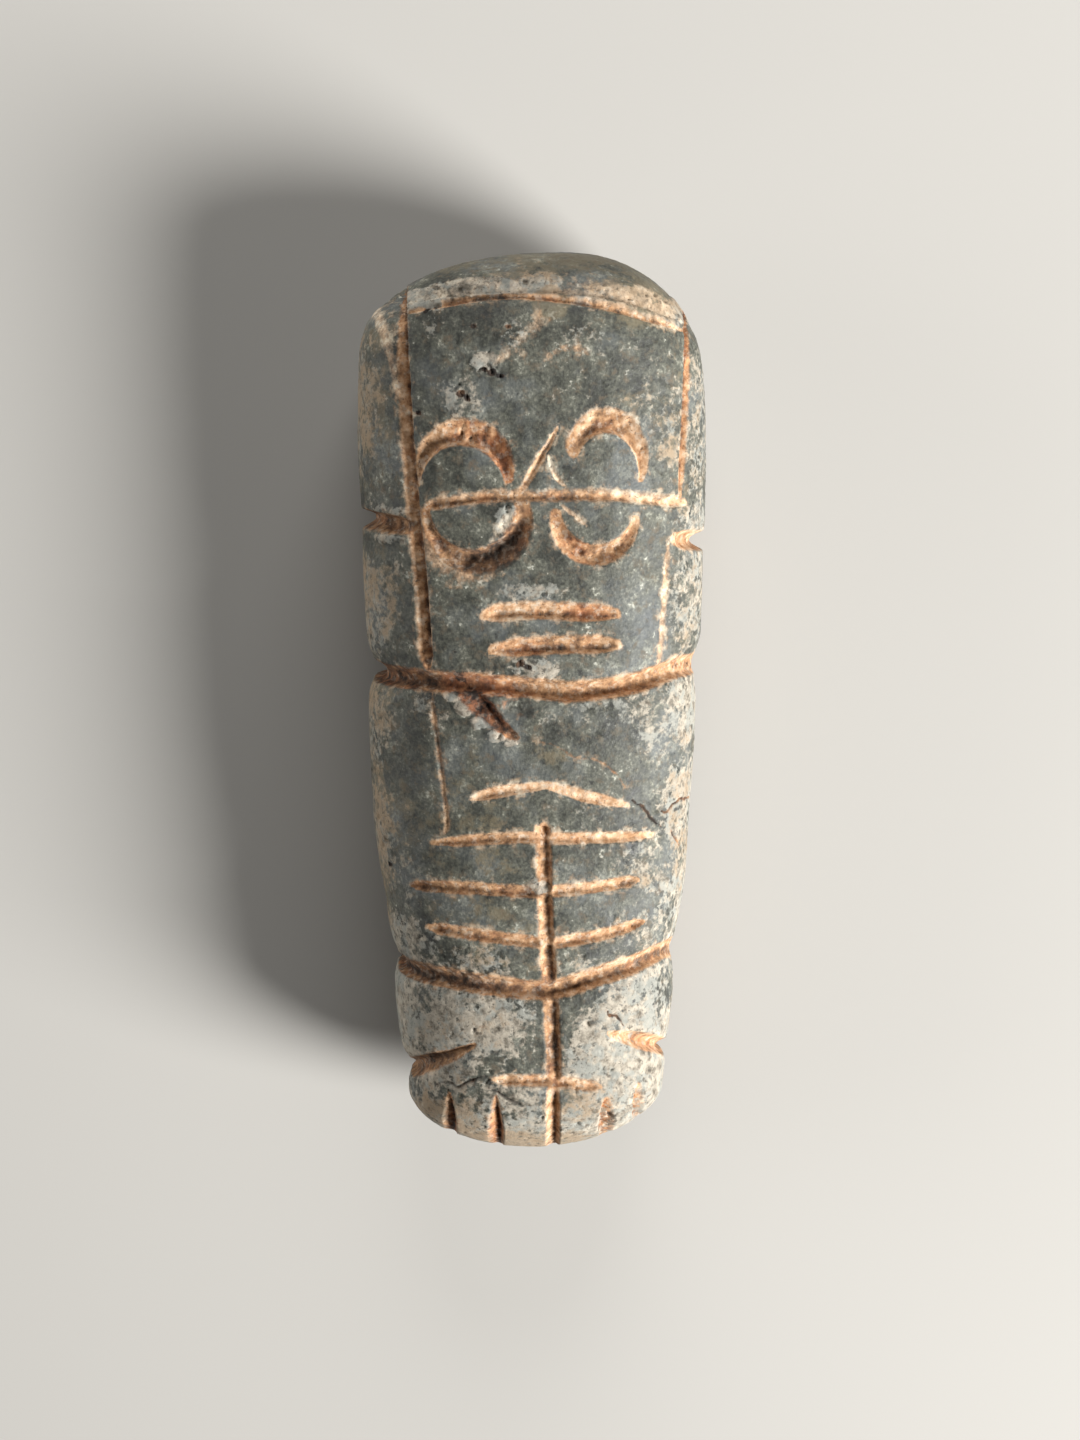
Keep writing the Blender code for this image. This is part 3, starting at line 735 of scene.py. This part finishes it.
soil = add_node(
    cutting, "GeometryNodeSwitch", {"Switch": claimed, "False": was["soil"], "True": soil},
    input_type="FLOAT",
)
now = {"soil": soil}
for label, value in [("held", held), ("rim", rim), ("claim", claim)]:
    now[label] = add_node(cutting, MATH, [value, was[label]], operation="MAXIMUM")
now["cut"] = add_node(cutting, MATH, [deep, was["cut"], BLEND], operation="SMOOTH_MAX")
flow = given["Geometry"]
for label, value in now.items():
    flow = add_node(cutting, STORE, {"Geometry": flow, "Name": label, "Value": value})
add_node(cutting, "NodeGroupOutput", {"Geometry": flow})

# %% Run it for each tool
# (paths, roundness of the cut, wander in mm, over how many mm, chatter)
TOOLS = [
    (shoulders, 1.3, 0.5, 4.0, 0.3),
    (bevels, 1.15, 0.4, 2.0, 0.25),
    (down_lines, 1.8, 0.2, 1.8, 0.25),
    (across_lines, 1.8, 0.24, 1.8, 0.25),
    (crescents, 2.0, 0.3, 2.0, 0.2),
    (saw_cuts, 2.4, 0.22, 2.0, 0.08),
    (cracks, 1.6, 0.7, 1.0, 0.4),
    (pits, 2.0, 0.8, 0.9, 0.4),
]
CUT_SEED = 7
for tool, roundness, wander, wander_size, chatter in TOOLS:
    add_tree(stone, cutting, paths=tool, roundness=roundness, wander=wander * MM,
             wander_size=wander_size * MM, chatter=chatter, seed=CUT_SEED)
print("tool groups:", len(stone.modifiers))

# %% [markdown]
# ## Lime crust and soil stains
#
# The ground left a pale crust of lime on some parts of the stone, most of all on the flanks, the
# lower legs and a band over the crown. These are large loose patches, so each is given as a place
# and a reach, and one attribute holds how much crust each point may have. The material breaks the
# patches up into grains. Where the stone is stained, and the soil in the cuts rusty, is given
# likewise.

# %% Give each point its share of crust, stain and rust
# (across, along, reach across, reach along, strength), in percent of the half-sizes
CRUST = [
    (96, 2, 29, 12, 0.76), (94, -18, 28, 14, 0.72), (90, -40, 24, 14, 0.72), (97, 25, 21, 13, 0.62),
    (94, 42, 14, 6, 0.6), (95, 64, 11, 24, 0.55), (84, 27, 9, 13, 0.52), (66, -32, 20, 12, 0.42),
    (78, 62, 9, 16, 0.5), (40, -22, 10, 8, 0.3), (68, 0, 14, 12, 0.5), (30, -20, 34, 10, 0.24),
    (34, 4, 32, 7, 0.36), (56, -45, 24, 9, 0.45), (60, -28, 20, 6, 0.42), (20, -17, 30, 4, 0.3),
    (-36, -51, 40, 4, 0.45), (30, -52, 30, 4, 0.4), (-70, -36, 18, 10, 0.4),
    (56, -74, 44, 16, 0.95), (50, -90, 44, 10, 1.1), (62, -58, 26, 8, 0.7), (0, -93, 34, 8, 0.85),
    (-40, -66, 46, 13, 0.82), (-80, -62, 20, 15, 0.9), (-72, -49, 24, 8, 0.72),
    (-50, -90, 40, 9, 0.85), (-60, -77, 40, 8, 0.75), (-12, -82, 30, 6, 0.6),
    (-58, 89.6, 14, 2.6, 1.2), (-26, 92.6, 26, 1.9, 1.1), (5, 92.8, 13, 2.8, 1.2),
    (45, 90.4, 28, 3, 0.9), (78, 87, 14, 3.4, 1.0), (-88, 72, 8, 10, 0.45), (-38, 69, 17, 5, 0.55),
    (-54, 85, 10, 3, 0.4), (-25, 76.6, 10, 2.4, 0.9), (-10, 82, 10, 6, 0.35),
    (-13, 43.5, 8, 4, 0.75), (0, 29.3, 24, 2, 0.65), (2, 12.5, 16, 3, 0.7), (-60, 5, 9, 4, 0.35),
    (-36, 62, 24, 3, 0.5), (-98, 24, 24, 14, 0.7), (-99, -2, 24, 13, 0.65), (-98, -26, 24, 16, 0.7),
    (-99, 68, 18, 20, 0.62), (-76, 33, 7, 3, 0.5), (-88, 46, 9, 3, 0.4), (-80, 39.3, 14, 1.3, 0.7),
    (-80, 45.4, 14, 1.3, 0.7), (18, 2, 20, 5, 0.3), (-6, 97, 16, 2, 0.4), (66, 68, 24, 12, 0.28),
    (20, 55, 8, 4, 0.25), (30, 78, 40, 12, 0.26), (-45, 6.8, 5, 1.5, 1.0), (-38, 4, 6, 1.4, 1.1),
    (-29, 1.2, 6, 1.5, 1.1), (-20, -1.6, 6, 1.4, 1.2), (-12, -3.2, 5, 1, 1.1),
    (5, -34.6, 8, 2.2, 1.25), (-47, 3, 7, 3, 0.4),
]
STAIN = [
    (-92, 28, 22, 15, 0.5), (-94, 70, 20, 26, 0.5), (-92, 2, 22, 14, 0.5), (-92, -22, 24, 20, 0.5),
    (80, 64, 12, 16, 0.45), (-50, -88, 26, 8, 0.6), (60, 90, 34, 8, 0.7), (15, -5, 20, 5, 0.4),
    (88, -20, 20, 26, 0.36), (10, 97, 70, 4, 0.6), (85, 52, 10, 10, 0.4), (-90, -40, 10, 18, 0.6),
    (10, 89, 12, 4, 0.9), (90, -66, 14, 10, 0.5), (45, 70, 28, 7, 0.3), (-30, -70, 40, 14, 0.3),
    (0, -40, 90, 18, 0.34), (-34, -22, 60, 22, 0.36), (92, 24, 16, 12, 0.34),
    (93, 62, 10, 22, 0.36), (28, -84, 30, 6, 0.5), (-4, -95, 50, 5, 0.7),
]
RUST = [
    (-25, 4, 20, 6, 1.0), (-34, 9.6, 22, 3, 0.9), (-16, 57, 10, 7, 1.0), (-32, 62, 16, 3, 0.5),
    (-34, -90, 24, 9, 0.8), (52, -88, 16, 8, 0.7), (5, 89.5, 10, 3, 0.5), (34, 25, 12, 3, 0.6),
    (-6, 17.5, 16, 3, 0.6), (25, 39, 14, 4, 0.5), (-24, 47.5, 8, 3, 0.6), (72, -72, 14, 5, 0.5),
    (-80, 9.5, 20, 4, 0.4), (-90, -56, 12, 4, 0.6), (86, 75, 5, 12, 0.5),
]


BACK_STARTS = BACK_DROP + 1  # below this height the patches give way to an even share,
BACK_FADES_IN = 4.0  # which is whole this much lower, mm


def patches(spots, places):
    """How much of the strongest patch reaches each point, from 0 to 1."""
    across, along = 100 * spots[:, 0] / HALF_WIDTH, 100 * spots[:, 1] / HALF_LENGTH
    most = np.zeros(len(spots))
    for x, y, wide, long, strength in places:
        far = ((across - x) / wide) ** 2 + ((along - y) / long) ** 2
        most = np.maximum(most, strength * np.exp(-(far**2)))
    return most


spots = np.empty(len(stone_mesh.vertices) * 3)
stone_mesh.vertices.foreach_get("co", spots)
spots = spots.reshape(-1, 3) / MM
behind = np.clip((BACK_STARTS - spots[:, 2]) / BACK_FADES_IN, 0, 1)
for label, places, on_back in [("crust", CRUST, 0.45), ("stain", STAIN, 0.5), ("rust", RUST, 0.2)]:
    share = patches(spots, places) * (1 - behind) + on_back * behind
    stone_mesh.attributes.new(label, "FLOAT", "POINT").data.foreach_set("value", share)
    print(label, "covers", round(100 * float(np.mean(share > 0.4))), "percent of the points")

# %% [markdown]
# ## The finish as a material
#
# The stone is a fine dark limestone, rubbed smooth and then dulled by the ground: slate grey with
# pale crystal flecks, a soft satin gloss where hands and soil polished it, and matt where crust or
# soil lies on it. The material mixes bare stone, soil stains, the bruised rims of cuts, lime crust,
# and the red and ochre soil that is packed in the grooves, darkened by painted shade on their
# deepest lines and in part on the sides turned from the light, by the attributes from above. Object
# coordinates in millimetres keep every grain at its real size.


# %% The material and its noises
limestone = bpy.data.materials.new("Rubbed dark limestone")
limestone.use_nodes = True
finish = limestone.node_tree
finish.nodes.clear()
whole = add_node(finish, "ShaderNodeTexCoord", output="Object")
mm_place = add_node(finish, VECTOR_MATH, {0: whole, "Scale": 1 / MM}, operation="SCALE")
attribute = {
    label: add_node(finish, "ShaderNodeAttribute", output="Fac", attribute_name=label)
    for label in ("held", "soil", "rim", "crust", "stain", "rust")
}
# Grain sizes in mm: broad clouds in the stone, mottling, crystal flecks, and the finest grit,
# then the patches that crust and stain break up into, and the silt in the cuts
noises = []
for size, detail, rough in [
    (7.0, 3.0, 0.6), (2.0, 6.0, 0.6), (0.55, 3.0, 0.6), (0.3, 2.0, 0.6), (3.0, 9.0, 0.75),
    (1.0, 6.0, 0.65),
]:
    noises.append(add_node(
        finish, NOISE,
        {"Vector": mm_place, "W": float(len(noises)), "Scale": 1 / size, "Detail": detail,
         "Roughness": rough},
        noise_dimensions="4D",
    ))
clouds, mottle, flecks, grit, patch, silt = noises

# %% Bare stone
grain = add_node(finish, MATH, [clouds, 0.6, mottle], operation="MULTIPLY_ADD")
grain = add_node(finish, MATH, [flecks, 0.5, grain], operation="MULTIPLY_ADD")
grain = add_node(finish, MATH, [grit, 0.6, grain], operation="MULTIPLY_ADD")
grain = add_node(finish, MATH, [grain, 1 / 2.7], operation="MULTIPLY")
body = add_node(
    finish, RAMP, {"Fac": grain},
    stops=[(0.38, "#1f1f1a"), (0.62, "#969585"), (0.46, "#393a32"), (0.53, "#58584d")],
)
salt = add_node(finish, MATH, [mottle, 0.6, flecks], operation="MULTIPLY_ADD")
# Bluer and browner clouds, salt and pores: (what each follows, from, to, at most, colour)
for follows, start, stop, most, shade in [
    (clouds, 0.5, 0.62, 0.4, "#5b6063"), (silt, 0.54, 0.62, 0.4, "#756b57"),
    (salt, 0.97, 1.04, 0.7, "#b9b8aa"), (flecks, 0.35, 0.3, 0.7, "#1f1f1a"),
]:
    tint = add_node(finish, MAP_RANGE, [follows, start, stop, 0.0, most])
    body = add_node(finish, MIX, {"Factor": tint, "A": body, "B": linear(shade)},
                    data_type="RGBA")

# %% Soil stains, bruised rims and lime crust
stained = add_node(finish, MATH, [patch, 2.2, attribute["stain"]], operation="MULTIPLY_ADD")
stained = add_node(finish, MATH, [silt, 0.8, stained], operation="MULTIPLY_ADD")
stained = add_node(finish, MAP_RANGE, [stained, 1.86, 2.1, 0.0, 0.6])
body = add_node(finish, MIX, {"Factor": stained, "A": body, "B": linear("#756a52")}, data_type="RGBA")
bruised = add_node(finish, MAP_RANGE, [silt, 0.5, 0.6, 0.0, 0.5])
bruised = add_node(finish, MATH, [attribute["rim"], bruised], operation="MULTIPLY")
body = add_node(finish, MIX, {"Factor": bruised, "A": body, "B": linear("#aca492")}, data_type="RGBA")
crust_depth = add_node(finish, MATH, [patch, 2.0, attribute["crust"]], operation="MULTIPLY_ADD")
crust_depth = add_node(finish, MATH, [flecks, 1.6, crust_depth], operation="MULTIPLY_ADD")
crusted = add_node(finish, MAP_RANGE, [crust_depth, 2.22, 2.46, 0.0, 0.9])
crust_colour = add_node(
    finish, RAMP, {"Fac": silt},
    stops=[(0.36, "#574f43"), (0.62, "#c6bcaa"), (0.49, "#958c7d")],
)
greyer = add_node(finish, MAP_RANGE, [mottle, 0.52, 0.45, 0.0, 0.65])
earthy = add_node(finish, MATH, [stained, 1.2], operation="MULTIPLY")
specks = add_node(finish, MAP_RANGE, [grit, 0.4, 0.32, 0.0, 0.6])
holes = add_node(finish, MAP_RANGE, [flecks, 0.42, 0.35, 0.0, 0.65])
holes = add_node(finish, MATH, [holes, specks], operation="MAXIMUM")
for tint, shade in [(greyer, "#8f928b"), (earthy, "#998164"), (holes, "#3b342a")]:
    crust_colour = add_node(finish, MIX, {"Factor": tint, "A": crust_colour, "B": linear(shade)},
                            data_type="RGBA")
body = add_node(finish, MIX, {"Factor": crusted, "A": body, "B": crust_colour}, data_type="RGBA")

# %% Soil packed in the cuts, with painted shade on their deepest lines
silty = add_node(finish, MAP_RANGE, [silt, 0.3, 0.7, -0.2, 0.2])
soil_and_shade_tone = add_node(finish, MATH, [silty, 1.5, attribute["soil"]], operation="MULTIPLY_ADD")
soil_and_shade_colour = add_node(
    finish, RAMP, {"Fac": soil_and_shade_tone},
    stops=[(0.0, "#15100b"), (1.0, "#dccbb0"), (0.2, "#35261a"), (0.4, "#6b4e37"),
           (0.6, "#9f7955"), (0.8, "#c3a180")],
)
rusty = add_node(finish, MAP_RANGE, [mottle, 0.4, 0.6, -0.35, 0.35])
rusty = add_node(finish, MATH, [rusty, attribute["rust"]], operation="ADD", use_clamp=True)
rusty = add_node(finish, MATH, [rusty, 0.8], operation="MULTIPLY")
rust_and_shade_colour = add_node(
    finish, RAMP, {"Fac": soil_and_shade_tone},
    stops=[(0.15, "#1f120b"), (0.85, "#d39a68"), (0.5, "#8f5430")],
)
limy = add_node(finish, MAP_RANGE, [flecks, 0.53, 0.62, 0.0, 0.6])
limy = add_node(finish, MATH, [limy, soil_and_shade_tone], operation="MULTIPLY")
for tint, shade in [(rusty, rust_and_shade_colour), (limy, linear("#bdb4a4")), (specks, linear("#2b1f15"))]:
    soil_and_shade_colour = add_node(finish, MIX, {"Factor": tint, "A": soil_and_shade_colour, "B": shade},
                           data_type="RGBA")
packed = add_node(finish, MATH, [attribute["held"], silty], operation="ADD")
packed = add_node(finish, MAP_RANGE, [packed, 0.0, 0.42])
closed = add_node(finish, MATH, [crust_depth, attribute["crust"]], operation="ADD")
closed = add_node(finish, MAP_RANGE, [closed, 3.8, 4.1, 1.0, 0.15])
packed = add_node(finish, MATH, [packed, closed], operation="MULTIPLY")
colour = add_node(finish, MIX, {"Factor": packed, "A": body, "B": soil_and_shade_colour}, data_type="RGBA")

# %% Gloss and fine relief
dull = add_node(finish, MATH, [packed, crusted], operation="MAXIMUM")
gloss = add_node(finish, MAP_RANGE, [mottle, 0.35, 0.65, 0.58, 0.74])
roughness = add_node(finish, MIX, {"Factor": dull, "A": gloss, "B": 0.9})
relief = add_node(finish, MATH, [flecks, grit], operation="ADD")
fine = add_node(finish, "ShaderNodeBump", {"Strength": 0.35, "Distance": 0.15 * MM, "Height": relief})
shader = add_node(
    finish, "ShaderNodeBsdfPrincipled",
    {"Base Color": colour, "Roughness": roughness, "Normal": fine},
)
add_node(finish, "ShaderNodeOutputMaterial", {"Surface": shader})
print("material nodes:", len(finish.nodes))

# %% [markdown]
# ## Weathering, and the mesh itself
#
# Rubbing leaves no true curve: the surface rolls slightly, with faint flats, grains stand out of
# the crust, and small holes open where the stone was soft. A second tree sinks every point by its
# cut and by this weathering. It only ever sinks them, so the figure stays within its CAD box, and
# it leaves the worn patch that the figure lies on as it is.

# %% The weathering tree
PLAIN = "plain"  # how freely the net may be thinned at a point
CRUST_GRAIN = 0.9 * MM
WEATHER_SEED = 3

wear, wish = new_tree("Weather the stone", [
    ("Roll", "Float", 0.14 * MM),
    ("Roll Size", "Float", 11.0 * MM),
    ("Ripple", "Float", 0.10 * MM),
    ("Ripple Size", "Float", 1.8 * MM),
    ("Grain", "Float", 0.05 * MM),
    ("Grain Size", "Float", 0.5 * MM),
    ("Crust Height", "Float", 0.12 * MM),
    ("Pore Depth", "Float", 0.3 * MM),
    ("Stone", "Material", None),
    ("Seed", "Int", 1),
])
spot = add_node(wear, "GeometryNodeInputPosition")
sunk = add_node(wear, NAMED, {"Name": "cut"})
for label in ("Roll", "Ripple", "Grain"):
    scale = add_node(wear, MATH, [1.0, wish[label + " Size"]], operation="DIVIDE")
    wave = add_node(
        wear, NOISE,
        {"Vector": spot, "W": wish["Seed"], "Scale": scale, "Detail": 2.0},
        noise_dimensions="4D",
    )
    wave = add_node(wear, MAP_RANGE, [wave, 0.25, 0.75])
    sunk = add_node(wear, MATH, [wave, wish[label], sunk], operation="MULTIPLY_ADD")
crust_share = add_node(wear, NAMED, {"Name": "crust"})
grains = add_node(
    wear, NOISE,
    {"Vector": spot, "W": 3.0, "Scale": 1 / CRUST_GRAIN, "Detail": 4.0}, noise_dimensions="4D",
)
covered = add_node(wear, MATH, [crust_share, grains], operation="ADD")
bare = add_node(wear, MAP_RANGE, [covered, 0.8, 1.1, 1.0, 0.0])
sunk = add_node(wear, MATH, [bare, wish["Crust Height"], sunk], operation="MULTIPLY_ADD")
pores = add_node(wear, MAP_RANGE, [grains, 0.4, 0.3])
softness = add_node(wear, MATH, [crust_share, 0.25], operation="ADD")
pores = add_node(wear, MATH, [pores, softness], operation="MULTIPLY")
sunk = add_node(wear, MATH, [pores, wish["Pore Depth"], sunk], operation="MULTIPLY_ADD")
height = add_node(wear, "ShaderNodeSeparateXYZ", {"Vector": spot}, "Z")
off_floor = add_node(wear, MAP_RANGE, [height, 0.0, 0.5 * MM, 0.0, -1.0])
sunk = add_node(wear, MATH, [sunk, off_floor], operation="MULTIPLY")
normal = add_node(wear, "GeometryNodeInputNormal")
move = add_node(wear, VECTOR_MATH, {0: normal, "Scale": sunk}, operation="SCALE")
flow = add_node(wear, "GeometryNodeSetPosition", {"Geometry": wish["Geometry"], "Offset": move})
flow = add_node(wear, "GeometryNodeRealizeInstances", {"Geometry": flow})
flow = add_node(wear, "GeometryNodeSetMaterial", {"Geometry": flow, "Material": wish["Stone"]})
plain = add_node(wear, NAMED, {"Name": "claim"})
plain = add_node(wear, MAP_RANGE, [plain, 0.0, 0.02, 1.0, 0.0])
flow = add_node(wear, STORE, {"Geometry": flow, "Name": PLAIN, "Value": plain})
add_node(wear, "NodeGroupOutput", {"Geometry": flow})
stone.vertex_groups.new(name=PLAIN)
add_tree(stone, wear, stone=limestone, seed=WEATHER_SEED)

# %% [markdown]
# ## From modifiers to one plain mesh
#
# The net has more triangles than the finished stone is given, so a Decimate modifier takes
# triangles away where the stone is smooth and keeps them where it is cut. Then the evaluated
# object is copied into a plain mesh, which replaces the CAD solid and rides on its body.

# %% Thin the mesh and make it plain
MOST_TRIANGLES = 194000
uncut_triangles = sum(len(p.vertices) - 2 for p in stone_mesh.polygons)
thinning = stone.modifiers.new("Thin where smooth", "DECIMATE")
thinning.ratio = MOST_TRIANGLES / uncut_triangles
thinning.vertex_group = PLAIN
thinning.vertex_group_factor = 1.0
evaluated = stone.evaluated_get(bpy.context.evaluated_depsgraph_get())
mesh = bpy.data.meshes.new_from_object(evaluated)
mesh.name = "zemi_figure_stone"
spots = np.empty(len(mesh.vertices) * 3)
mesh.vertices.foreach_get("co", spots)
spots[2::3] = np.maximum(spots[2::3], 0)
mesh.vertices.foreach_set("co", spots)
figure = add_object("zemi_figure_stone", mesh)
for thing in [stone] + [tool[0] for tool in TOOLS]:
    bpy.data.objects.remove(thing, do_unlink=True)
print("finished stone:", sum(len(p.vertices) - 2 for p in mesh.polygons), "triangles")
print("attributes:", [a.name for a in mesh.attributes if not a.is_internal])

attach(figure, "root")
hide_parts("zemi_figure")

# %% [markdown]
# ## Floor, light and camera
#
# The figure lies on a plain pale floor. The photograph's light is soft and comes low from the
# lower right, which is what makes the grooves read: their upper left walls catch it and the lower
# right ones fall into shade. So the key light stands there, two faint ones open the shadows on
# the left and the crown, and a dim sky fills the rest.

# %% Floor
FLOOR_REACH = 2000.0 * MM
corners = [(-1, -1), (1, -1), (1, 1), (-1, 1)]
floor_mesh = bpy.data.meshes.new("floor")
floor_mesh.from_pydata([(x * FLOOR_REACH, y * FLOOR_REACH, 0) for x, y in corners], [],
                       [(0, 1, 2, 3)])
floor = add_object("floor", floor_mesh)
# Matt paper is an even pale grey without gloss, so that only the stone catches the light
paper = bpy.data.materials.new("Matt backdrop paper")
paper.use_nodes = True
sheet = paper.node_tree
sheet.nodes.clear()
pale = {"Base Color": linear("#b0ada7"), "Roughness": 0.9}
paper_shader = add_node(sheet, "ShaderNodeBsdfPrincipled", pale)
add_node(sheet, "ShaderNodeOutputMaterial", {"Surface": paper_shader})
floor_mesh.materials.append(paper)

# %% Lights
aim = Vector((0, 0, BACK_DROP * MM))
# (name, place in mm, size in mm, watts)
for name, place_mm, size, watts in [
    ("key", (650, -290, 370), 350, 18.5),
    ("fill", (-500, 40, 75), 400, 1.7),
    ("top", (40, 460, 200), 300, 1.6),
]:
    lamp = bpy.data.lights.new(name, "AREA")
    lamp.shape = "DISK"
    lamp.size = size * MM
    lamp.energy = watts
    light = add_object(name, lamp)
    light.location = Vector(place_mm) * MM
    light.rotation_euler = (aim - light.location).to_track_quat("-Z", "Y").to_euler()
world = bpy.data.worlds.new("Dim studio")
world.use_nodes = True
sky = world.node_tree.nodes["Background"].inputs
sky["Color"].default_value = linear("#b9bcc0")
sky["Strength"].default_value = 0.045
bpy.context.scene.world = world

# %% Camera
# The photograph looks down on the figure from the side of its crown, 9.5 degrees off its front,
# from about a quarter of a metre.
CAMERA_MM = (0.795, 38.44, 245.30)
CAMERA_TILT = -9.5  # degrees
camera_data = bpy.data.cameras.new("camera")
camera_data.lens = 60
camera_data.sensor_width = 36
camera_data.clip_start = 10 * MM
camera = add_object("camera", camera_data)
camera.location = Vector(CAMERA_MM) * MM
camera.rotation_euler = (math.radians(CAMERA_TILT), 0, 0)
bpy.context.scene.camera = camera
bpy.context.scene.view_settings.view_transform = "Standard"
